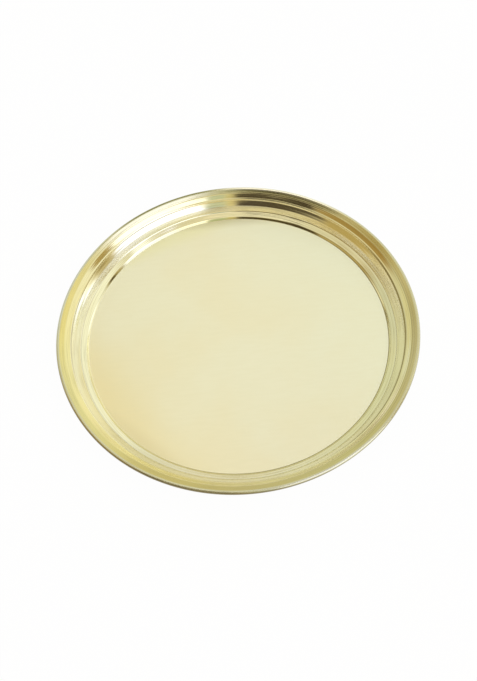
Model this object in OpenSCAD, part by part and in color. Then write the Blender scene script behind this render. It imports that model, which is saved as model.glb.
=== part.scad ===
// Thali plate: a round dining plate spun from one brass sheet.
// Its stepped wall ends in a rim that is curled round a brass wire.
// The origin is under the middle of the floor, +Z is up, sizes are in millimetres.

/* [Plate] */
// Diameter over the curled rim
plate_d = 280; // [180:5:380]
// Thickness of the spun sheet
sheet_t = 0.9; // [0.7:0.05:1.1]

/* [Foot step] */
// Width of the small step that rings the floor
foot_w = 1.3; // [0.9:0.1:2.5]
// Height of that step
foot_h = 1.6; // [0.8:0.1:2.5]

/* [Shelf] */
// Width of the sloping shelf between the foot step and the wall
shelf_w = 4.2; // [3:0.1:8]
// Rise of the shelf
shelf_h = 2.6; // [1.5:0.1:4]

/* [Wall] */
// Width that the steep lower half of the wall takes
wall_foot_w = 2.4; // [2:0.1:3]
// Height of that lower half
wall_foot_h = 4.4; // [3.4:0.1:6]
// Width of the wall's upper half
wall_w = 3.3; // [2.6:0.1:5]
// Height of the wall's upper half
wall_h = 4.6; // [3.6:0.1:9]

/* [Flare] */
// Width of the flare above the wall
flare_w = 4; // [3:0.1:6]
// Rise of the flare
flare_h = 3.2; // [2:0.1:4.5]
// Width of the lip, from the flare to where it turns over the rim wire
lip_w = 4; // [3.4:0.1:6]
// Rise of the lip
lip_h = 1.7; // [1:0.1:2.5]

/* [Bends] */
// Inside radius of the bend where the floor meets the foot step
floor_bend_r = 0.8; // [0.4:0.1:1.2]
// Inside radius of the bend over the foot step
foot_bend_r = 0.5; // [0.3:0.1:0.8]
// Inside radius of the cove at the foot of the wall
cove_r = 2.5; // [1:0.1:4]
// Inside radius of the long soft bend in the wall
wall_bend_r = 40; // [10:5:40]
// Inside radius of the bend between wall and flare
shoulder_r = 0.6; // [0.3:0.1:1.2]
// Inside radius of the soft bend between flare and lip
lip_bend_r = 3; // [1:0.5:5]

/* [Turned lines] */
// Radius of the round tool that cuts the line at the foot of the wall
groove_r = 0.35; // [0.2:0.05:0.5]
// Depth of that line
groove_depth = 0.2; // [0.1:0.05:0.3]
// Radius of the round ridge raised along the shoulder
ridge_r = 0.5; // [0.4:0.05:0.8]
// Height of that ridge above the shoulder
ridge_h = 0.15; // [0.1:0.05:0.3]

/* [Rim] */
// Diameter of the wire inside the curled rim
wire_d = 1.3; // [1.2:0.1:2]
// Clearance round the wire
wire_gap = 0.05; // [0.02:0.01:0.1]
// Gap between the curl's free edge and the underside of the lip
seam_gap = 0.15; // [0.1:0.05:0.3]
// How far the curled bead stands proud of the lip's upper face
bead_rise = 0.05; // [0.03:0.01:0.1]

/* [Hidden] */
$fn = 180;

brass = "#d9cf94";
wire_brass = "#c2b06a";

// Turn between two neighbouring points of a bend
bend_step_angle = 6;
// Share of the shorter run beside a corner that its bend may take up
bend_run_share = 0.5;
// Share of the sheet's thickness that the seam's cut reaches into the lip
seam_cut_share = 0.5;

// Radii of the wire's channel and of the whole rim bead
channel_r = wire_d / 2 + wire_gap;
bead_r = channel_r + sheet_t;

// Height of the lip's end over the resting plane
lip_end_z = sheet_t + foot_h + shelf_h + wall_foot_h + wall_h + flare_h + lip_h;

// The lip's own directions, along its upper face and square out of it
lip_run = norm([lip_w, lip_h]);
lip_along = [lip_w, lip_h] / lip_run;
lip_out = [-lip_h, lip_w] / lip_run;

// The wire lies under the lip's end, so that the sheet turns smoothly over it
wire_drop = bead_r - bead_rise;
wire_at = [plate_d / 2 - bead_r, lip_end_z - wire_drop * lip_out[1]];

// Corners of the sheet's upper face, from the rim inwards
lip_end = wire_at + wire_drop * lip_out;
lip_corner = lip_end - [lip_w, lip_h];
shoulder_corner = lip_corner - [flare_w, flare_h];
wall_corner = shoulder_corner - [wall_w, wall_h];
cove_corner = wall_corner - [wall_foot_w, wall_foot_h];
foot_top_corner = cove_corner - [shelf_w, shelf_h];
floor_corner = foot_top_corner - [foot_w, foot_h];
centre = [0, sheet_t];

upper_face = [centre, floor_corner, foot_top_corner, cove_corner,
              wall_corner, shoulder_corner, lip_corner, lip_end];
bend_radii = [0, floor_bend_r, foot_bend_r, cove_r,
              wall_bend_r, shoulder_r, lip_bend_r, 0];

// A run's direction, and the direction square to it on its left
function along(a, b) = (b - a) / norm(b - a);
function leftward(a, b) = let (u = along(a, b)) [-u[1], u[0]];

// Turn of a corner in degrees, positive where the sheet bends upwards
function turn(a, b, c) =
    let (u = along(a, b), v = along(b, c))
    atan2(u[0] * v[1] - u[1] * v[0], u * v);

// Corner of the face that lies a distance to the right of a corner
function shifted_corner(a, b, c, distance) =
    let (m = leftward(a, b), n = leftward(b, c))
    b - distance * (m + n) / (1 + m * n);

// The face of the sheet that lies under the upper face, by the sheet's thickness
function under_face(p, t) = [
    for (i = [0 : len(p) - 1])
        i == 0 ? p[0] - t * leftward(p[0], p[1])
        : i == len(p) - 1 ? p[i] - t * leftward(p[i - 1], p[i])
        : shifted_corner(p[i - 1], p[i], p[i + 1], t)
];

// The bends' radii, each limited by the shorter run beside its corner
function fitted_radii(p, radii) = [
    radii[0],
    for (i = [1 : len(p) - 2])
        let (
            run = min(norm(p[i] - p[i - 1]), norm(p[i + 1] - p[i])),
            bend = abs(turn(p[i - 1], p[i], p[i + 1]))
        )
        min(radii[i], bend_run_share * run / tan(bend / 2)),
    radii[len(p) - 1]
];

// Points of the arc that rounds the corner b
function rounded_corner(a, b, c, r) =
    let (
        bend = turn(a, b, c),
        side = sign(bend),
        back = r * tan(abs(bend) / 2),
        first = b - back * along(a, b),
        middle = first + side * r * leftward(a, b),
        steps = max(1, ceil(abs(bend) / bend_step_angle)),
        start = -side * leftward(a, b)
    )
    [for (i = [0 : steps])
        let (q = bend * i / steps)
        middle + r * [start[0] * cos(q) - start[1] * sin(q),
                      start[0] * sin(q) + start[1] * cos(q)]];

// A face with each corner rounded; the outer side of a bend adds the thickness
function rounded_face(p, radii, up_extra, down_extra) = [
    p[0],
    for (i = [1 : len(p) - 2])
        let (up = turn(p[i - 1], p[i], p[i + 1]) > 0)
        each rounded_corner(p[i - 1], p[i], p[i + 1],
                            radii[i] + (up ? up_extra : down_extra)),
    p[len(p) - 1]
];

// Direction out of the upper face at a corner, halfway between its two runs
function outward(a, b, c) = along(b, b + leftward(a, b) + leftward(b, c));

// How far a bend of inside radius r stands off its corner
function bend_offset(a, b, c, r) = r / cos(turn(a, b, c) / 2) - r;

// Middles of the round ridge on the shoulder and of the round line in the cove
ridge_at = shoulder_corner
    - (ridge_r - ridge_h) * outward(wall_corner, shoulder_corner, lip_corner);
groove_at = cove_corner
    + (bend_offset(foot_top_corner, cove_corner, wall_corner, cove_r)
       + groove_r - groove_depth)
    * outward(foot_top_corner, cove_corner, wall_corner);

function reversed(p) = [for (i = [len(p) - 1 : -1 : 0]) p[i]];

// Section of the bent sheet, from the middle of the floor to the lip's end
module sheet_section() {
    radii = fitted_radii(upper_face, bend_radii);
    top = rounded_face(upper_face, radii, 0, sheet_t);
    bottom = rounded_face(under_face(upper_face, sheet_t), radii, sheet_t, 0);
    polygon(concat(bottom, reversed(top)));
}

// Gap left where the curl's free edge tucks up under the lip
module seam_section() {
    under_lip = wire_drop - sheet_t;
    low = wire_at + (under_lip - seam_gap) * lip_out;
    high = wire_at + (under_lip + seam_cut_share * sheet_t) * lip_out;
    polygon([
        low - 2 * bead_r * lip_along,
        low - bead_rise * lip_along,
        high - bead_rise * lip_along,
        high - 2 * bead_r * lip_along
    ]);
}

// Section of the rim: the sheet's edge curled over and under the wire's channel
module curl_section() {
    difference() {
        translate(wire_at) circle(r = bead_r);
        seam_section();
    }
}

module plate_section() {
    difference() {
        union() {
            sheet_section();
            curl_section();
            translate(ridge_at) circle(r = ridge_r);
        }
        translate(wire_at) circle(r = channel_r);
        translate(groove_at) circle(r = groove_r);
    }
}

module plate_body() {
    color(brass) rotate_extrude() plate_section();
}

module rim_wire() {
    color(wire_brass) rotate_extrude() translate(wire_at) circle(d = wire_d);
}

plate_body();
rim_wire();
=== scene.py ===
import math
import random

import bpy
import numpy as np
from mathutils import Matrix, Vector


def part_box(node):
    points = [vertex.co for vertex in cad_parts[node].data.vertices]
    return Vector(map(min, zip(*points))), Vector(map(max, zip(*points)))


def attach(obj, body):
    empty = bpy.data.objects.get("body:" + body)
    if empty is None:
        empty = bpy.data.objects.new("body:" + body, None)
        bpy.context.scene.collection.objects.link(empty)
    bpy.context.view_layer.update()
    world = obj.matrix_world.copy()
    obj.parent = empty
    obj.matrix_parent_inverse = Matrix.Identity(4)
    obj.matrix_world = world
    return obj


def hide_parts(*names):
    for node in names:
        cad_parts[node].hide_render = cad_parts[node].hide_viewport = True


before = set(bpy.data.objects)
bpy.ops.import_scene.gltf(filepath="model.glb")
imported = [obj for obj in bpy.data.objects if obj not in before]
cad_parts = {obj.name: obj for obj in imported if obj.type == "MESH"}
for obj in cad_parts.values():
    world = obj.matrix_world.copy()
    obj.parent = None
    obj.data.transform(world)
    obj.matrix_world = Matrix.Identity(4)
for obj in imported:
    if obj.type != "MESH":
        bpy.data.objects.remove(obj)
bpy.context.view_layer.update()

MM = 0.001
FULL_TURN = 2 * math.pi

# Sizes of the plate's section in millimetres: each band's width and its rise
FOOT_STEP = np.array([1.3, 1.6])
SHELF = np.array([4.2, 2.6])
WALL_FOOT = np.array([2.4, 4.4])
WALL = np.array([3.3, 4.6])
FLARE = np.array([4.0, 3.2])
LIP = np.array([4.0, 1.7])
SHEET_T = 0.9
SEAM_GAP = 0.15
BEAD_RISE = 0.05

# Inside radii of the bends, from the floor outwards
FLOOR_BEND_R = 0.8
FOOT_BEND_R = 0.5
COVE_R = 2.5
WALL_BEND_R = 40.0
SHOULDER_R = 0.6
LIP_BEND_R = 3.0

# The soft turn from the lip into the bead: its radius, and how much it lifts the lip
SWELL_R = 4.0
SWELL_RISE = 0.06

# The rim wire and the bead round it
plate_low, plate_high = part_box("plate_body")
wire_low, wire_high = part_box("rim_wire")
WIRE_GAP = 0.05
wire_r = (wire_high.z - wire_low.z) / 2 / MM
channel_r = wire_r + WIRE_GAP
bead_r = channel_r + SHEET_T

# How finely the mesh goes round the axis and follows the section
AROUND = 288
ANGLES = np.arange(AROUND) * FULL_TURN / AROUND
WIRE_POINTS = 12
BEAD_POINTS = 40
CHANNEL_POINTS = 24
SWELL_POINTS = 8
BEND_STEP = math.radians(7)
FEWEST_BEND_STEPS = 2
FLOOR_STEP = 4.5
WALL_STEP = 0.17
UNDER_FLOOR_STEP = 9.0
UNDER_WALL_STEP = 1.2
# Runs whose middle lies farther inside the floor's edge than this belong to the floor
FLOOR_MARGIN = 4.0

# Corners of the sheet's upper face, from the rim inwards
lip_way = LIP / np.linalg.norm(LIP)
lip_up = np.array([-lip_way[1], lip_way[0]])
lip_angle = math.atan2(lip_way[1], lip_way[0])
wire_drop = bead_r - BEAD_RISE
rise = sum(run[1] for run in (FOOT_STEP, SHELF, WALL_FOOT, WALL, FLARE, LIP))
wire_at = np.array([plate_high.x / MM - bead_r, SHEET_T + rise - wire_drop * lip_up[1]])
lip_end = wire_at + wire_drop * lip_up
lip_corner = lip_end - LIP
shoulder_corner = lip_corner - FLARE
wall_corner = shoulder_corner - WALL
cove_corner = wall_corner - WALL_FOOT
foot_top_corner = cove_corner - SHELF
floor_corner = foot_top_corner - FOOT_STEP
floor_centre = np.array([0.0, floor_corner[1]])

# The radii where the bands meet
FLOOR_R = floor_corner[0]
FOOT_TOP = foot_top_corner[0]
COVE = cove_corner[0]
SHOULDER = shoulder_corner[0]
LIP_START = lip_corner[0]
LIP_END = lip_end[0]
WIRE_AT = wire_at[0]


def unit(v):
    return v / np.linalg.norm(v)


def cross(u, v):
    return u[0] * v[1] - u[1] * v[0]


def leftward(a, b):
    u = unit(b - a)
    return np.array([-u[1], u[0]])


def rounded_corner(a, b, c, r):
    """Points of the arc of radius r that rounds the corner b between a and c."""
    u, v = unit(b - a), unit(c - b)
    bend = math.atan2(cross(u, v), u @ v)
    side = 1 if bend > 0 else -1
    first = b - r * math.tan(abs(bend) / 2) * u
    n = leftward(a, b)
    middle = first + side * r * n
    start = -side * n
    steps = max(FEWEST_BEND_STEPS, math.ceil(abs(bend) / BEND_STEP))
    points = []
    for i in range(steps + 1):
        q = bend * i / steps
        turned = np.array([start[0] * math.cos(q) - start[1] * math.sin(q),
                           start[0] * math.sin(q) + start[1] * math.cos(q)])
        points.append(middle + r * turned)
    return points


def rounded_face(corners, radii, up_extra, down_extra):
    """The corners of one face of the sheet, each rounded by its bend."""
    out = [corners[0]]
    for i in range(1, len(corners) - 1):
        a, b, c = corners[i - 1:i + 2]
        up = cross(b - a, c - b) > 0
        out += rounded_corner(a, b, c, radii[i] + (up_extra if up else down_extra))
    return out + [corners[-1]]


def under_corners(corners):
    """Corners of the face that lies one sheet thickness under the given face."""
    out = [corners[0] - SHEET_T * leftward(corners[0], corners[1])]
    for a, b, c in zip(corners, corners[1:], corners[2:]):
        m, n = leftward(a, b), leftward(b, c)
        out.append(b - SHEET_T * (m + n) / (1 + m @ n))
    return out + [corners[-1] - SHEET_T * leftward(corners[-2], corners[-1])]


def resampled(points, floor_step, wall_step):
    """The polyline cut into pieces no longer than the step of the band where each run lies."""
    out = [points[0]]
    for a, b in zip(points, points[1:]):
        on_floor = (a[0] + b[0]) / 2 < FLOOR_R - FLOOR_MARGIN
        step = floor_step if on_floor else wall_step
        pieces = max(1, math.ceil(np.linalg.norm(b - a) / step))
        out += [a + (b - a) * i / pieces for i in range(1, pieces + 1)]
    return out


def on_circle(middle, r, angle):
    return middle + r * np.array([math.cos(angle), math.sin(angle)])


def arc(middle, r, start, end, points):
    return [on_circle(middle, r, start + (end - start) * i / points) for i in range(points + 1)]


def swell_arc():
    """The soft turn that carries the lip over into the bead, and the bead angle where it ends."""
    reach = SWELL_R - bead_r
    down = reach - SWELL_RISE
    back = math.sqrt(reach ** 2 - down ** 2)
    middle = wire_at - back * lip_way - down * lip_up
    bead_angle = lip_angle + math.atan2(down, back)
    return arc(middle, SWELL_R, lip_angle + math.pi / 2, bead_angle, SWELL_POINTS), bead_angle


# The upper face, from the middle of the floor to the rim bead, in the solid and as it is seen
swell, bead_start = swell_arc()
raised_lip_corner = lip_corner + (BEAD_RISE + SWELL_RISE) * lip_up
inner_corners = [floor_centre, floor_corner, foot_top_corner, cove_corner,
                 wall_corner, shoulder_corner]
upper = inner_corners + [lip_corner, lip_end]
upper_seen = inner_corners + [raised_lip_corner, swell[0]]
bends = [0, FLOOR_BEND_R, FOOT_BEND_R, COVE_R, WALL_BEND_R, SHOULDER_R, LIP_BEND_R, 0]


def section():
    """The plate's section: the points of its upper face, and those of the rest of its outline."""
    top = rounded_face(upper_seen, bends, 0, SHEET_T)[:-1] + swell
    top = resampled(top, FLOOR_STEP, WALL_STEP)
    under_rise = wire_drop - SHEET_T
    edge_rise = under_rise - SEAM_GAP
    bead_end = lip_angle - math.pi - math.asin(edge_rise / bead_r)
    channel_start = lip_angle + math.pi - math.asin(edge_rise / channel_r)
    channel_end = lip_angle + FULL_TURN + math.pi - math.asin(under_rise / channel_r)
    bead = arc(wire_at, bead_r, bead_start, bead_end, BEAD_POINTS)
    channel = arc(wire_at, channel_r, channel_start, channel_end, CHANNEL_POINTS)
    under = rounded_face(under_corners(upper), bends, SHEET_T, 0)[:-1]
    under = resampled([channel[-1]] + under[::-1], UNDER_FLOOR_STEP, UNDER_WALL_STEP)
    return np.array(top), np.array(bead[1:] + channel + under[1:])


# Turned lines: the radius where each lies, its depth (a ridge is negative) and its half width
RIDGE = (SHOULDER + 0.15, -0.2, 0.42)
GROOVE = (COVE, 0.12, 0.3)
FLOOR_LINE = (FLOOR_R - 2.8, 0.14, 0.35)
# How much wider the ridge's outer side is, and how far the groove is worn away at the far side
RIDGE_OUTER = 1.3
GROOVE_WORN = 0.75
# Lines deeper than this go all round with full strength
BOLD_DEPTH = 0.03
# The part of a fine line's strength that is the same all round
FINE_STEADY = 0.65
# The lip's last millimetres have no lines
PLAIN_LIP_END = 1.0

# Bands with faint tool marks: from and to, how many, and their greatest depth
FINE_BANDS = [
    (FOOT_TOP + 0.6, COVE - 0.6, 8, 0.022),
    (COVE + 0.6, wall_corner[0], 5, 0.018),
    (wall_corner[0], SHOULDER - 0.6, 6, 0.016),
    (SHOULDER + 0.8, LIP_START + 1.6, 12, 0.022),
]
FINE_PLACES = (0.1, 0.9)
FINE_HALF_WIDTHS = (0.22, 0.45)
draw = random.Random(7)


def fine_lines(low_r, high_r, count, depth):
    """Faint tool marks at uneven places of one band."""
    out = []
    for i in range(count):
        at = low_r + (high_r - low_r) * (i + draw.uniform(*FINE_PLACES)) / count
        out.append((at, depth * draw.uniform(-1, 1), draw.uniform(*FINE_HALF_WIDTHS)))
    return out


turned_lines = [RIDGE, GROOVE, FLOOR_LINE]
for band in FINE_BANDS:
    turned_lines += fine_lines(*band)
line_phases = [(draw.randint(1, 3), draw.uniform(0, FULL_TURN)) for _ in turned_lines]

# Slow waves that hand spinning leaves round the plate: count, size and phase of each
rim_waves = [(m, 0.06 / m, draw.uniform(0, FULL_TURN)) for m in (2, 3, 5, 7, 11)]
wall_waves = [(m, 0.12 / m, draw.uniform(0, FULL_TURN)) for m in (4, 6, 9, 13, 17)]
# How far the wall's waves turn with each millimetre outwards
WAVE_TWIST = 0.05
# The rim's waves in height: their turn against the waves in width, and their share of those
HEIGHT_PHASE = 1.3
HEIGHT_SHARE = 0.6


def wave_sum(waves, drift):
    """Sum of the waves at each angle, turned by drift, lowered so that it is never above zero."""
    return sum(size * (np.cos(m * ANGLES + phase + drift) - 1) for m, size, phase in waves)


def hand_made(r, z):
    """Moves the turned section a little by the slow waves round it."""
    up = np.clip((r - FOOT_TOP) / (WIRE_AT - FOOT_TOP), 0, 1)
    on_wall = np.sin(math.pi * np.clip((r - FLOOR_R) / (LIP_START - FLOOR_R), 0, 1))
    r = r + up * wave_sum(rim_waves, 0.0)
    r = r + on_wall * wave_sum(wall_waves, r * WAVE_TWIST)
    z = z + up * wave_sum(rim_waves, HEIGHT_PHASE) * HEIGHT_SHARE
    return r, z


def line_strength(at, deep, count, phase):
    """How strongly a turned line is cut at each angle."""
    far_side = np.clip(np.sin(ANGLES), 0, 1)
    if at == FLOOR_LINE[0]:
        return far_side ** 3
    if at == GROOVE[0]:
        return 1 - GROOVE_WORN * far_side ** 2
    if abs(deep) > BOLD_DEPTH:
        return np.ones(AROUND)
    return FINE_STEADY + (1 - FINE_STEADY) * np.cos(count * ANGLES + phase)


def cut_lines(points):
    """Depth of all turned lines at each point of the upper face and each angle."""
    depth = np.zeros((len(points), AROUND))
    for (at, deep, half), (count, phase) in zip(turned_lines, line_phases):
        outer = RIDGE_OUTER if at == RIDGE[0] else 1
        width = half * np.where(points[:, 0] > at, outer, 1)
        shape = np.exp(-((points[:, 0] - at) / width) ** 2)
        depth += shape[:, None] * deep * line_strength(at, deep, count, phase)
    return depth


def spread(values):
    """Each ring's value, repeated at each angle."""
    return values[:, None] * np.ones(AROUND)


def ring_points(r, z):
    """The mesh points of rings whose radii and heights are given at each angle."""
    return np.stack([r * np.cos(ANGLES), r * np.sin(ANGLES), z], -1).reshape(-1, 3) * MM


def ring_faces(rings, closed):
    """Faces between neighbouring rings, and between the last and the first if closed."""
    faces = []
    for i in range(rings if closed else rings - 1):
        low, high = i * AROUND, (i + 1) % rings * AROUND
        for k in range(AROUND):
            k2 = (k + 1) % AROUND
            faces.append((low + k, high + k, high + k2, low + k2))
    return faces


def pole_faces(rings):
    """Faces from the first and the last ring to the poles, whose points come after the rings."""
    first_pole = rings * AROUND
    last_ring = first_pole - AROUND
    faces = []
    for k in range(AROUND):
        k2 = (k + 1) % AROUND
        faces.append((first_pole, k, k2))
        faces.append((last_ring + k, first_pole + 1, last_ring + k2))
    return faces


def smooth_object(name, points, faces):
    mesh = bpy.data.meshes.new(name)
    mesh.from_pydata(points.tolist(), [], faces)
    mesh.validate()
    for face in mesh.polygons:
        face.use_smooth = True
    piece = bpy.data.objects.new(name, mesh)
    bpy.context.scene.collection.objects.link(piece)
    return piece


def make_plate():
    """The spun sheet: its section turned round the axis, with lines cut into the upper face."""
    top, rest = section()
    tangents = np.gradient(top, axis=0)
    normals = np.stack([-tangents[:, 1], tangents[:, 0]], -1)
    normals /= np.linalg.norm(normals, axis=1)[:, None]
    has_lines = top[:, 0] < LIP_END - PLAIN_LIP_END
    depth = cut_lines(top) * has_lines[:, None]
    outline = np.vstack([top, rest])
    rings = outline[1:-1]
    r, z = spread(rings[:, 0]), spread(rings[:, 1])
    on_top = len(top) - 1
    r[:on_top] -= normals[1:, 0][:, None] * depth[1:]
    z[:on_top] -= normals[1:, 1][:, None] * depth[1:]
    r, z = hand_made(r, z)
    poles = np.array([[0, 0, outline[0][1]], [0, 0, outline[-1][1]]]) * MM
    points = np.vstack([ring_points(r, z), poles])
    faces = ring_faces(len(rings), closed=False) + pole_faces(len(rings))
    return smooth_object("spun_plate", points, faces)


def make_wire():
    """The wire's closed ring, moved by the same slow waves as the rim round it."""
    ring = np.array(arc(wire_at, wire_r, 0.0, -FULL_TURN, WIRE_POINTS)[:-1])
    r, z = hand_made(spread(ring[:, 0]), spread(ring[:, 1]))
    return smooth_object("curled_in_wire", ring_points(r, z), ring_faces(WIRE_POINTS, closed=True))


class Nodes:
    """Short calls for building one node tree."""

    def __init__(self, tree):
        self.tree = tree
        tree.nodes.clear()

    def add(self, kind, **settings):
        node = self.tree.nodes.new(kind)
        for name, value in settings.items():
            setattr(node, name, value)
        return node

    def link(self, output, socket):
        self.tree.links.new(output, socket)

    def feed(self, socket, value):
        if isinstance(value, bpy.types.NodeSocket):
            self.link(value, socket)
        elif value is not None:
            socket.default_value = value

    def math(self, operation, a, b=None, c=None):
        node = self.add("ShaderNodeMath", operation=operation)
        for socket, value in zip(node.inputs, (a, b, c)):
            self.feed(socket, value)
        return node.outputs[0]

    def times(self, a, b):
        return self.math("MULTIPLY", a, b)

    def plus(self, a, b):
        return self.math("ADD", a, b)

    def minus(self, a, b):
        return self.math("SUBTRACT", a, b)

    def ramp(self, value, low, high, to_low=0.0, to_high=1.0):
        node = self.add("ShaderNodeMapRange", interpolation_type="SMOOTHSTEP")
        self.feed(node.inputs["Value"], value)
        node.inputs["From Min"].default_value = low
        node.inputs["From Max"].default_value = high
        node.inputs["To Min"].default_value = to_low
        node.inputs["To Max"].default_value = to_high
        return node.outputs[0]

    def mix(self, factor, a, b):
        node = self.add("ShaderNodeMix", data_type="RGBA")
        self.feed(node.inputs["Factor"], factor)
        self.feed(node.inputs["A"], colour(a))
        self.feed(node.inputs["B"], colour(b))
        return node.outputs["Result"]

    def noise(self, vector, scale, detail):
        node = self.add("ShaderNodeTexNoise")
        node.inputs["Scale"].default_value = scale
        node.inputs["Detail"].default_value = detail
        self.feed(node.inputs["Vector"], vector)
        return node.outputs["Fac"]

    def split(self, vector):
        node = self.add("ShaderNodeSeparateXYZ")
        self.link(vector, node.inputs[0])
        return node.outputs

    def coordinate(self, name):
        return self.add("ShaderNodeTexCoord").outputs[name]

    def mix_shaders(self, share, a, b):
        node = self.add("ShaderNodeMixShader")
        for socket, output in zip(node.inputs, (share, a, b)):
            self.link(output, socket)
        return node.outputs[0]

    def finish(self, kind, shader):
        self.link(shader, self.add(kind).inputs[0])


def colour(value):
    """A colour of three numbers gets its fourth; anything else stays as it is."""
    if isinstance(value, tuple) and len(value) == 3:
        return (*value, 1.0)
    return value


# Colours of the brass, band by band from the floor outwards, and of the painted reflections,
# highlights and shade laid over it
BRASS = (0.83, 0.79, 0.55)
BRASS_WARM = (0.86, 0.77, 0.48)
BRASS_COOL = (0.79, 0.80, 0.60)
FLOOR_BRASS = (0.92, 0.885, 0.68)
FLOOR_PEACH = (0.90, 0.80, 0.48)
FLOOR_GREEN = (0.90, 0.90, 0.70)
FLOOR_SIDE = (0.865, 0.875, 0.69)
FLOOR_FAR = (0.90, 0.86, 0.46)
STEP_WARM = (0.84, 0.78, 0.40)
SHELF_BRASS = (0.85, 0.83, 0.61)
FOOT_BRIGHT = (0.98, 0.97, 0.89)
FOOT_WARM = (0.80, 0.79, 0.59)
FOOT_GOLD = (1.00, 0.95, 0.66)
WALL_BRASS = (0.88, 0.88, 0.82)
WALL_WARM = (0.90, 0.82, 0.52)
WALL_BRIGHT = (0.99, 0.98, 0.87)
LEFT_WARM = (0.76, 0.665, 0.37)
LEFT_PALE = (0.95, 0.97, 0.95)
# Colour of a painted golden reflection on the flare and the lip
LEFT_GOLD_REFLECTION = (0.80, 0.72, 0.28)
FLARE_BRASS = (0.83, 0.77, 0.48)
NEAR_FLARE = (0.86, 0.82, 0.57)
LIP_BRASS = (0.68, 0.63, 0.35)
LIP_SIDE = (0.64, 0.575, 0.295)
RIM_BRASS = (0.66, 0.64, 0.46)
RIM_SIDE = (0.60, 0.57, 0.38)
RIM_PALE = (0.69, 0.70, 0.60)
# Colour of a painted highlight on the bead
RIM_PAINTED_HIGHLIGHT = (0.97, 0.96, 0.83)
# Colour of painted shade on the bead
RIM_PAINTED_SHADE = (0.31, 0.30, 0.12)
# Dark oxide with painted shade for the bead's outside
EDGE_OXIDE_AND_SHADE = (0.26, 0.22, 0.12)
UNDER_BRASS = (0.82, 0.74, 0.44)
# Tarnish for the stains and the turned lines, also used as painted shade in the lines and at the
# floor's edge
TARNISH_AND_SHADE = (0.36, 0.31, 0.17)
WIRE_LIGHT = (0.62, 0.52, 0.28)
WIRE_DARK = (0.42, 0.34, 0.18)

# Edges: the radii between which one band's look gives way to the next
FLOOR_EDGE = (FLOOR_R - 0.3, FLOOR_R + 0.3)
STEP_EDGE = (FOOT_TOP - 0.1, FOOT_TOP + 0.3)
SHELF_EDGE = (COVE - 1.2, COVE + 0.4)
FOOT_EDGE = (COVE + 1.6, COVE + 2.6)
WALL_EDGE = (SHOULDER - 0.4, SHOULDER + 0.4)
GOLD_REFLECTION_EDGE = (SHOULDER - 0.2, SHOULDER + 0.6)
LIP_EDGE = (LIP_START - 0.8, LIP_START + 0.6)
BEAD_EDGE = (LIP_END - 0.8, LIP_END + 0.6)
RIM_HIGHLIGHT_EDGE = (LIP_END - 2.0, LIP_END - 0.4)
RIM_SHADE_EDGE = (LIP_END - 2.0, LIP_END + 0.8)
UNDERSIDE_EDGE = (WIRE_AT - 0.8, WIRE_AT - 0.2)
OXIDE_AND_SHADE_EDGE = (WIRE_AT + 1.1, WIRE_AT + 1.45)
OUTSIDE_SHADE_EDGE = (WIRE_AT + 0.5, WIRE_AT + 1.3)

# Painted reflections, highlights and shade: a colour, its strength, the side of the plate where it
# lies in degrees (0 near,
# 90 right, 180 far, -90 left), and the distances from the axis towards that side between
# which it grows in. Later patches cover earlier ones.
# The floor's painted reflections, cooler on the right and warmer at the near and far left, and
# painted shade near its edge at the near left and the far side
FLOOR_PAINTED_LIGHT = [
    (FLOOR_SIDE, 0.60, 110.0, 0.0, 110.0),
    (FLOOR_PEACH, 0.78, -57.0, 72.0, 118.0),
    (TARNISH_AND_SHADE, 0.13, -42.0, 106.0, 118.0),
    (FLOOR_FAR, 0.45, -158.0, 98.0, 115.0),
    (TARNISH_AND_SHADE, 0.36, 180.0, 107.0, 119.0),
]
# Painted reflections on the step, the foot, the wall and the flare: pale highlights, warm and
# golden glows and darker tints, each on one side
STEP_REFLECTIONS = [
    (STEP_WARM, 1.0, -170.0, 115.0, 118.5),
    (STEP_WARM, 1.0, 155.0, 112.0, 117.5),
]
FOOT_REFLECTIONS = [
    (FOOT_BRIGHT, 1.0, 112.0, 112.0, 123.0),
    (FOOT_BRIGHT, 1.0, -122.0, 118.0, 124.5),
    (FOOT_WARM, 1.0, -161.0, 115.0, 123.5),
    (FOOT_GOLD, 1.0, 163.0, 118.0, 124.5),
]
WALL_REFLECTIONS = [
    (WALL_BRIGHT, 1.0, 82.0, 108.0, 128.0),
    (LEFT_PALE, 1.0, -53.0, 112.0, 126.0),
    (WALL_WARM, 1.0, 181.0, 124.5, 128.5),
    (WALL_WARM, 1.0, 137.0, 98.0, 124.0),
    (LEFT_WARM, 1.0, -121.0, 124.5, 128.2),
]
FLARE_REFLECTION = [(NEAR_FLARE, 1.0, 12.0, 100.0, 130.0)]
# A painted golden reflection on the flare and the lip at the near left
GOLD_REFLECTION_PATCHES = [(LEFT_GOLD_REFLECTION, 0.5, -62.0, 60.0, 128.0)]
# Painted reflections on the lip and the bead: darker on the right, paler at the left
LIP_REFLECTION = [(LIP_SIDE, 1.0, 64.0, 100.0, 132.0)]
BEAD_REFLECTIONS = [
    (RIM_SIDE, 1.0, 78.0, 96.0, 128.0),
    (RIM_PALE, 1.0, -108.0, 126.0, 137.0),
]
# A painted highlight on the bead at the far right
RIM_HIGHLIGHT_PATCHES = [(RIM_PAINTED_HIGHLIGHT, 1.0, 158.0, 123.0, 136.0)]
# Painted shade on the bead at the far left
RIM_SHADE_PATCHES = [(RIM_PAINTED_SHADE, 1.0, -158.0, 126.0, 137.0)]

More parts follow.
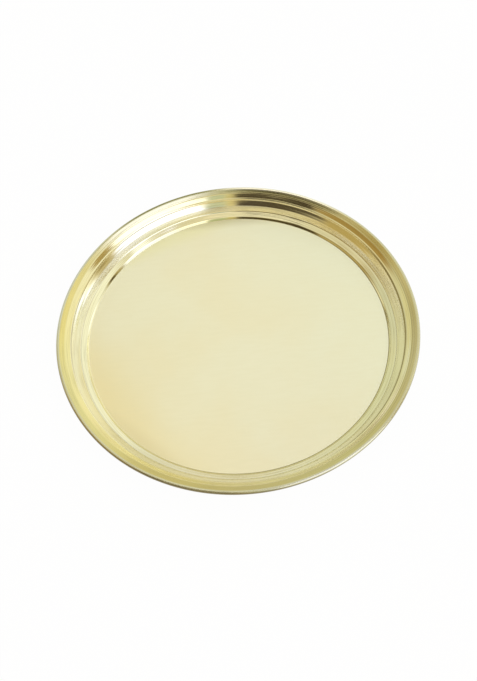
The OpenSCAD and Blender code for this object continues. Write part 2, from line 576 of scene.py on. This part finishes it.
# Turned lines with tarnish, darkened as painted shade on the side where each shows: radius, half
# width, strength, and the side of the plate where it shows, with the distances from the axis
# between which it grows in
TARNISH_AND_SHADE_LINES = [
    (FLOOR_R, 0.52, 0.95, 60.0, -60.0, 90.0),
    (FOOT_TOP, 0.25, 0.50, 60.0, -60.0, 60.0),
    (FOOT_TOP + 2.2, 0.2, 0.30, 70.0, 20.0, 100.0),
    (COVE, 0.35, 0.50, 95.0, -20.0, 90.0),
    (COVE + 1.2, 0.2, 0.30, 75.0, 20.0, 110.0),
    (SHOULDER - 0.4, 0.72, 1.00, 74.0, 78.0, 110.0),
    (SHOULDER - 0.4, 0.4, 0.45, -100.0, 112.0, 125.0),
    (COVE - 0.4, 0.5, 0.35, -80.0, 70.0, 115.0),
    (COVE + 1.6, 1.3, 0.08, 122.0, 114.0, 126.0),
    (FLOOR_R + 0.4, 0.8, 0.32, -155.0, 60.0, 112.0),
    (LIP_START - 1.2, 0.2, 0.45, 80.0, 40.0, 120.0),
    (LIP_START - 0.1, 0.3, 0.65, 75.0, 40.0, 120.0),
    (LIP_START + 1.4, 0.25, 0.50, 80.0, 20.0, 120.0),
    (LIP_START - 0.1, 0.95, 0.80, 158.0, 124.0, 131.5),
]

# Shares of the clouds in the colour of the floor and of the other bands
FLOOR_CLOUD_SHARE = 0.25
BAND_CLOUD_SHARE = 0.25
# Noise: scale and detail
FLOOR_CLOUDS = (11.0, 4.0)
BAND_CLOUDS = (9.0, 3.0)
STAIN_CLOUDS = (30.0, 2.0)
GRAIN = (1.0, 3.0)
TURNING_MARKS = (40.0, 3.0)
WIRE_CLOUDS = (120.0, 3.0)
WIRE_GRAIN = (400.0, 2.0)
# The noise values between which clouds change from one colour to the other
CLOUD_LOW, CLOUD_HIGH = 0.35, 0.65
# Stretch of the floor's brushed grain along the three axes, and its greatest share
GRAIN_STRETCH = (60.0, 400.0, 100.0)
GRAIN_SHARE = 0.1
# How much faster the turning marks change across the rings than along them
ACROSS_RINGS = 60.0
# Stains: from and to in the turning marks, least and greatest share, and how clouds weaken them
STAIN_RAMP = (0.40, 0.72, 0.0, 0.42)
STAIN_CLOUD_SHARES = (0.2, 0.8)
# The core of a turned line that has its full strength, as a share of its half width
LINE_CORE = 0.3
# The upward part of a surface's direction between which the underside's look gives way
UNDERSIDE_TURN = (-0.2, -0.05, 1.0, 0.0)
# Greatest share of the oxide and painted shade on the bead's outside, and the side where the
# painted shade, for the floor's shadow seen in the rim, reaches lower
OXIDE_AND_SHADE_SHARE = 0.35
OUTSIDE_SHADE_SIDE = (-35.0, 20.0, 125.0)

# Roughness of the floor and of the wall, and what the lip, the bead and the underside add
FLOOR_ROUGH = 0.36
WALL_ROUGH = 0.1
SATIN_EDGE = (FLOOR_R - 1.0, FLOOR_R + 0.2)
LIP_WEAR_EDGE = (LIP_START - 1.0, LIP_START + 1.0)
LIP_WEAR = 0.06
RIM_WEAR_EDGE = (LIP_END - 0.8, LIP_END + 0.5)
RIM_WEAR = 0.05
UNDER_WEAR = 0.14
# Roughness by noise: from and to in the noise, least and greatest roughness
MARK_ROUGHNESS = (0.3, 0.7, -0.02, 0.03)
WIRE_ROUGHNESS = (0.3, 0.7, 0.35, 0.5)
# Duller rings: radius, half width and added roughness
DULL_RINGS = [
    (SHOULDER - 1.0, 1.4, 0.05),
    (COVE + 1.2, 1.7, 0.14),
]
# Duller places: the same, and the side and the distances from the axis as in the patches
DULL_PLACES = [
    (SHOULDER - 2.6, 3.2, 0.14, 99.0, 118.0, 127.0),
    (SHOULDER + 2.2, 2.6, 0.14, 27.0, 122.0, 131.0),
]


def distance_from_axis(t, place):
    x, y, _ = t.split(place)
    return t.math("SQRT", t.plus(t.times(x, x), t.times(y, y)))


def turning_marks(t, place, r):
    """Noise that changes quickly across the rings and slowly along them."""
    x, y, _ = t.split(place)
    ring = t.add("ShaderNodeCombineXYZ")
    t.link(t.times(r, ACROSS_RINGS), ring.inputs[0])
    t.link(x, ring.inputs[1])
    t.link(y, ring.inputs[2])
    return t.noise(ring.outputs[0], *TURNING_MARKS)


def clouds(t, place, scale, detail, low=0.0, high=1.0):
    """Soft clouds between two values."""
    return t.ramp(t.noise(place, scale, detail), CLOUD_LOW, CLOUD_HIGH, low, high)


def beyond(t, r, edge, inside=0.0, outside=1.0):
    """One value inside the edge and another beyond it."""
    return t.ramp(r, edge[0] * MM, edge[1] * MM, inside, outside)


def within(t, r, edge):
    """One inside the edge and nothing beyond it."""
    return beyond(t, r, edge, 1.0, 0.0)


def facing(t, place, degrees, start, stop):
    """Grows from nothing to one with the distance from the axis towards one side of the plate."""
    way = (math.sin(math.radians(degrees)), -math.cos(math.radians(degrees)), 0.0)
    node = t.add("ShaderNodeVectorMath", operation="DOT_PRODUCT")
    t.link(place, node.inputs[0])
    node.inputs[1].default_value = way
    return t.ramp(node.outputs["Value"], start * MM, stop * MM)


def line_at(t, r, at, half):
    """One at a turned line of the given radius and half width, and nothing beside it."""
    away = t.math("ABSOLUTE", t.minus(r, at * MM))
    return t.ramp(away, half * LINE_CORE * MM, half * MM, 1.0, 0.0)


def underneath(t, r):
    """One on the faces of the plate's underside, inside the bead, and nothing on the others."""
    upward = t.split(t.coordinate("Normal"))[2]
    return t.times(t.ramp(upward, *UNDERSIDE_TURN), within(t, r, UNDERSIDE_EDGE))


def with_painted_light(t, place, base, patches, where=1.0):
    """The base colour with each patch of painted light mixed in, as far as the mask where lets it
    show.
    """
    for tint, strength, side, start, stop in patches:
        share = t.times(facing(t, place, side, start, stop), strength)
        base = t.mix(t.times(share, where), base, tint)
    return base


def floor_colour(t, place):
    """The floor's paler brass: slow green and peach clouds and a fine brushed grain, with painted
    reflections by side and painted shade near its edge.
    """
    tint = t.mix(clouds(t, place, *FLOOR_CLOUDS), FLOOR_PEACH, FLOOR_GREEN)
    tint = t.mix(FLOOR_CLOUD_SHARE, FLOOR_BRASS, tint)
    tint = with_painted_light(t, place, tint, FLOOR_PAINTED_LIGHT)
    stretched = t.add("ShaderNodeVectorMath", operation="MULTIPLY")
    t.link(place, stretched.inputs[0])
    stretched.inputs[1].default_value = GRAIN_STRETCH
    grain = clouds(t, stretched.outputs[0], *GRAIN, 0.0, GRAIN_SHARE)
    return t.mix(grain, tint, BRASS)


def wall_colour(t, place, r):
    """The bands from the foot step to the flare, with painted reflections and highlights laid on
    by side.
    """
    wall = with_painted_light(t, place, WALL_BRASS, WALL_REFLECTIONS)
    wall = with_painted_light(t, place, wall, FOOT_REFLECTIONS, within(t, r, FOOT_EDGE))
    flare = with_painted_light(t, place, FLARE_BRASS, FLARE_REFLECTION)
    shelf = with_painted_light(t, place, SHELF_BRASS, STEP_REFLECTIONS, within(t, r, STEP_EDGE))
    brass = t.mix(beyond(t, r, WALL_EDGE), wall, flare)
    brass = t.mix(within(t, r, SHELF_EDGE), brass, shelf)
    tint = t.mix(clouds(t, place, *BAND_CLOUDS), BRASS_WARM, BRASS_COOL)
    return t.mix(BAND_CLOUD_SHARE, brass, tint)


def rim_colour(t, place, r, base):
    """Lays the lip's, the bead's and the outer edge's colours over the base colour, with painted
    reflections, a painted highlight and painted shade on the rim, and oxide with painted shade on
    the outside.
    """
    lip = with_painted_light(t, place, LIP_BRASS, LIP_REFLECTION)
    bead = with_painted_light(t, place, RIM_BRASS, BEAD_REFLECTIONS)
    base = t.mix(beyond(t, r, LIP_EDGE), base, lip)
    base = with_painted_light(t, place, base, GOLD_REFLECTION_PATCHES, beyond(t, r, GOLD_REFLECTION_EDGE))
    base = t.mix(beyond(t, r, BEAD_EDGE), base, bead)
    base = with_painted_light(t, place, base, RIM_HIGHLIGHT_PATCHES, beyond(t, r, RIM_HIGHLIGHT_EDGE))
    base = with_painted_light(t, place, base, RIM_SHADE_PATCHES, beyond(t, r, RIM_SHADE_EDGE))
    # Oxide and painted shade on the bead's outside, with more painted shade at the near left where
    # the rim reflects the floor's shadow under it
    oxide_and_shade = beyond(t, r, OXIDE_AND_SHADE_EDGE, 0.0, OXIDE_AND_SHADE_SHARE)
    outside_shade = t.times(beyond(t, r, OUTSIDE_SHADE_EDGE), facing(t, place, *OUTSIDE_SHADE_SIDE))
    return t.mix(t.math("MAXIMUM", oxide_and_shade, outside_shade), base, EDGE_OXIDE_AND_SHADE)


def tarnish_and_painted_shade(t, place, r, base, marks):
    """The colour with faint stains along the turning marks, and dark turned lines: tarnish,
    darkened as painted shade on the side where each shows.
    """
    stain = t.times(t.ramp(marks, *STAIN_RAMP), beyond(t, r, FLOOR_EDGE))
    stain = t.times(stain, clouds(t, place, *STAIN_CLOUDS, *STAIN_CLOUD_SHARES))
    base = t.mix(stain, base, TARNISH_AND_SHADE)
    for at, half, strength, side, start, stop in TARNISH_AND_SHADE_LINES:
        line = t.times(line_at(t, r, at, half), strength)
        line = t.times(line, facing(t, place, side, start, stop))
        base = t.mix(line, base, TARNISH_AND_SHADE)
    return base


def sheet_roughness(t, place, r, marks, under):
    """A satin floor, a polished wall, and duller lip, bead, rings and places."""
    rough = beyond(t, r, SATIN_EDGE, FLOOR_ROUGH, WALL_ROUGH)
    rough = t.plus(rough, beyond(t, r, LIP_WEAR_EDGE, 0.0, LIP_WEAR))
    rough = t.plus(rough, beyond(t, r, RIM_WEAR_EDGE, 0.0, RIM_WEAR))
    rough = t.plus(rough, t.ramp(marks, *MARK_ROUGHNESS))
    rough = t.plus(rough, t.times(under, UNDER_WEAR))
    for at, half, added in DULL_RINGS:
        rough = t.plus(rough, t.times(line_at(t, r, at, half), added))
    for at, half, added, side, start, stop in DULL_PLACES:
        dull = t.times(line_at(t, r, at, half), facing(t, place, side, start, stop))
        rough = t.plus(rough, t.times(dull, added))
    return rough


def new_material(name):
    """A new material, and the calls that build its nodes."""
    material = bpy.data.materials.new(name)
    material.use_nodes = True
    return material, Nodes(material.node_tree)


def finish_metal(t, base, rough):
    """Ends a material as bare metal of the given colour and roughness."""
    shader = t.add("ShaderNodeBsdfPrincipled")
    shader.inputs["Metallic"].default_value = 1.0
    t.link(base, shader.inputs["Base Color"])
    t.link(rough, shader.inputs["Roughness"])
    t.finish("ShaderNodeOutputMaterial", shader.outputs[0])


def plate_brass():
    """Polished brass with a satin floor, warm, cool, pale and dark patches of painted reflection,
    highlight and shade, and tarnish in the turned lines darkened as painted shade.
    """
    material, t = new_material("plate_brass")
    place = t.coordinate("Object")
    r = distance_from_axis(t, place)
    marks = turning_marks(t, place, r)
    under = underneath(t, r)
    base = t.mix(beyond(t, r, FLOOR_EDGE), floor_colour(t, place), wall_colour(t, place, r))
    base = rim_colour(t, place, r, base)
    base = t.mix(under, base, UNDER_BRASS)
    base = tarnish_and_painted_shade(t, place, r, base, marks)
    finish_metal(t, base, sheet_roughness(t, place, r, marks, under))
    return material


def wire_brass():
    """Drawn wire, dull and a little darker than the sheet."""
    material, t = new_material("wire_brass")
    place = t.coordinate("Object")
    base = t.mix(t.noise(place, *WIRE_CLOUDS), WIRE_LIGHT, WIRE_DARK)
    finish_metal(t, base, t.ramp(t.noise(place, *WIRE_GRAIN), *WIRE_ROUGHNESS))
    return material


# The studio round the plate: soft-edged cards by direction, in degrees.
# Azimuth 0 is the camera's side and turns towards +X. Each card has its azimuth and height
# from and to, the half widths of its soft edges, and its colour. Later cards cover earlier ones.
CARDS = [
    ("white table", -180, 180, -100, 6, 1, 3, (0.95, 0.92, 0.80)),
    ("wooden floor", -92, 36, -6, 10, 8, 3, (0.92, 0.79, 0.48)),
    ("wooden bench", -126, -90, -6, 9, 5, 3, (0.97, 0.91, 0.65)),
    ("pale back shelf", 150, 210, 4, 13, 10, 3, (0.89, 0.86, 0.78)),
    ("back wall", 156, 212, 12, 31, 8, 5, (0.76, 0.70, 0.49)),
    ("left rear wall", -176, -138, 7, 34, 8, 4, (0.82, 0.82, 0.60)),
    ("left rear cupboard", -144, -108, 14, 27, 5, 3, (0.81, 0.77, 0.50)),
    ("left rear picture", -146, -104, 27, 44, 5, 4, (0.76, 0.76, 0.58)),
    ("left rear sill", -146, -122, 2, 13, 6, 3, (0.92, 0.96, 0.90)),
    ("left rear corner", -174, -141, 35, 54, 6, 4, (0.46, 0.39, 0.20)),
    ("right rear wall", 88, 156, 4, 66, 5, 4, (1.12, 1.09, 0.93)),
    ("right rear picture", 116, 158, 44, 66, 5, 5, (1.14, 1.06, 0.74)),
    ("right rear shelf", 126, 165, 10, 38, 6, 4, (1.06, 1.06, 0.93)),
    ("right rear sill", 90, 136, 1, 10, 5, 4, (1.5, 1.52, 1.5)),
    ("soft box over the back", 148, 212, 36, 78, 10, 6, (0.94, 0.96, 0.91)),
    ("its warmer left half", 188, 212, 46, 78, 14, 8, (0.93, 0.90, 0.74)),
    ("wooden shelf", -109, -84, 16, 44, 7, 4, (0.46, 0.31, 0.10)),
    ("wooden door", -92, -58, 26, 50, 5, 4, (0.44, 0.30, 0.10)),
    ("golden drawers", -99, -58, 6, 26, 6, 3, (0.53, 0.41, 0.17)),
    ("dark doorway", -60, -6, 15, 60, 3, 3, (0.08, 0.06, 0.035)),
    ("pale wall behind it", -46, -10, 36, 47, 6, 3, (0.90, 0.80, 0.52)),
    ("pale beam", -70, 20, 62, 68, 5, 2, (1.10, 1.00, 0.78)),
    ("pale bracket", -46, -32, 56.5, 63, 3, 2, (0.92, 0.85, 0.60)),
    ("yellow curtain", -6, 0, 13, 60, 2, 4, (0.80, 0.68, 0.34)),
    ("green curtain", 0, 13, 13, 60, 3, 4, (0.62, 0.69, 0.54)),
    ("dark skirting", 1, 14, 11, 18, 3, 3, (0.36, 0.26, 0.11)),
    ("window", 13, 73, 13, 58, 2, 3, (1.7, 1.75, 1.95)),
    ("window's upper corner", 66, 79, 26, 57, 2, 4, (1.7, 1.75, 1.95)),
    ("window post", 73, 88, 8, 28, 3, 4, (0.62, 0.50, 0.22)),
    ("window post's upper part", 79, 93, 26, 48, 3, 6, (0.50, 0.36, 0.12)),
    ("dark chair", 80, 86, 13, 20, 2, 1.5, (0.08, 0.06, 0.03)),
    ("plain ceiling", -180, 180, 82, 100, 1, 4, (0.66, 0.67, 0.50)),
    ("pale ceiling edge", -156, -138, 56, 64, 5, 3, (1.00, 0.98, 0.82)),
    ("brown ceiling corner", -137, -116, 54, 67, 5, 3, (0.58, 0.45, 0.19)),
    ("left ceiling strip", -180, -124, 69, 88, 5, 3, (1.40, 1.28, 1.05)),
    ("right ceiling strip", 122, 178, 64, 88, 5, 3, (0.56, 0.54, 0.42)),
    ("dim ceiling corner", -114, -20, 68, 88, 5, 3, (0.09, 0.075, 0.04)),
    ("roof light", 50, 119, 65, 86, 4, 3, (1.78, 1.85, 2.7)),
]
STUDIO = (0.84, 0.77, 0.56)
WHITE = (1.0, 1.0, 1.0)
HALF_TURN = 180.0


def between(t, off, half, edge):
    """One where off is less than half, and nothing beyond a soft edge."""
    return t.ramp(t.math("ABSOLUTE", off), half - edge, half + edge, 1.0, 0.0)


def card_mask(t, azimuth, height, sides, heights, edges):
    """One on a card, given by its azimuths, its heights and its soft edges."""
    off = t.minus(azimuth, (sides[0] + sides[1]) / 2)
    off = t.math("WRAP", off, HALF_TURN, -HALF_TURN)
    across = between(t, off, (sides[1] - sides[0]) / 2, edges[0])
    off = t.minus(height, (heights[0] + heights[1]) / 2)
    along = between(t, off, (heights[1] - heights[0]) / 2, edges[1])
    return t.times(across, along)


def build_world():
    """The studio's cards as the world's light, which the camera sees as plain white."""
    world = bpy.data.worlds.new("studio")
    bpy.context.scene.world = world
    world.use_nodes = True
    t = Nodes(world.node_tree)
    x, y, z = t.split(t.coordinate("Generated"))
    azimuth = t.math("DEGREES", t.math("ARCTAN2", x, t.times(y, -1.0)))
    height = t.math("DEGREES", t.math("ARCSINE", z))
    light = STUDIO
    for _, left, right, low, high, side_edge, end_edge, tint in CARDS:
        mask = card_mask(t, azimuth, height, (left, right), (low, high), (side_edge, end_edge))
        light = t.mix(mask, light, tint)
    path = t.add("ShaderNodeLightPath")
    background = t.add("ShaderNodeBackground")
    t.link(t.mix(path.outputs["Is Camera Ray"], light, WHITE), background.inputs["Color"])
    t.finish("ShaderNodeOutputWorld", background.outputs[0])


FLOOR_SIZE = 4.0
FLOOR_WHITE = (0.96, 0.96, 0.96)
FLOOR_GLOW = 0.97


def floor_white():
    """White paper that shows its own white to the camera and in metal, and is clear from below."""
    material, t = new_material("floor_white")
    path = t.add("ShaderNodeLightPath").outputs
    paper = t.add("ShaderNodeBsdfDiffuse")
    paper.inputs["Color"].default_value = colour(FLOOR_WHITE)
    glow = t.add("ShaderNodeEmission").outputs[0]
    seen = t.plus(path["Is Camera Ray"], path["Is Glossy Ray"])
    seen = t.plus(seen, path["Is Transmission Ray"])
    lit = t.mix_shaders(t.times(seen, FLOOR_GLOW), paper.outputs[0], glow)
    clear = t.add("ShaderNodeBsdfTransparent").outputs[0]
    below = t.add("ShaderNodeNewGeometry").outputs["Backfacing"]
    t.finish("ShaderNodeOutputMaterial", t.mix_shaders(below, lit, clear))
    return material


def build_floor():
    """A plain white floor that keeps a faint shadow."""
    bpy.ops.mesh.primitive_plane_add(size=FLOOR_SIZE, location=(0, 0, plate_low.z))
    floor = bpy.context.object
    floor.name = "studio_floor"
    floor.data.materials.append(floor_white())


# Camera: its distance from a point over the plate's middle, its height angle, aim, roll and lens
CAMERA_LEVEL = 0.0211
CAMERA_AWAY = 0.560
CAMERA_RISE = math.radians(56.2)
CAMERA_DIP = math.radians(1.731)
CAMERA_YAW = math.radians(0.019)
CAMERA_ROLL = math.radians(5.322)
CAMERA_NEAR = 0.01
LENS_PIXELS = 726.8
PHOTO_HEIGHT = 681
SENSOR = 36.0


def build_camera():
    data = bpy.data.cameras.new("camera")
    data.sensor_width = SENSOR
    data.lens = LENS_PIXELS * SENSOR / PHOTO_HEIGHT
    data.clip_start = CAMERA_NEAR
    camera = bpy.data.objects.new("camera", data)
    bpy.context.scene.collection.objects.link(camera)
    towards = Vector((0, -math.cos(CAMERA_RISE), math.sin(CAMERA_RISE)))
    spot = Vector((0, 0, CAMERA_LEVEL)) + towards * CAMERA_AWAY
    tilt = Matrix.Rotation(math.pi / 2 - CAMERA_RISE - CAMERA_DIP, 4, "X")
    turn = Matrix.Rotation(-CAMERA_YAW, 4, "Y")
    roll = Matrix.Rotation(-CAMERA_ROLL, 4, "Z")
    camera.matrix_world = Matrix.Translation(spot) @ tilt @ turn @ roll
    bpy.context.scene.camera = camera


plate = make_plate()
plate.data.materials.append(plate_brass())
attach(plate, "root")
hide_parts("plate_body")

wire = make_wire()
wire.data.materials.append(wire_brass())
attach(wire, "root")
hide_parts("rim_wire")

build_world()
build_floor()
build_camera()
bpy.context.scene.view_settings.view_transform = "Standard"
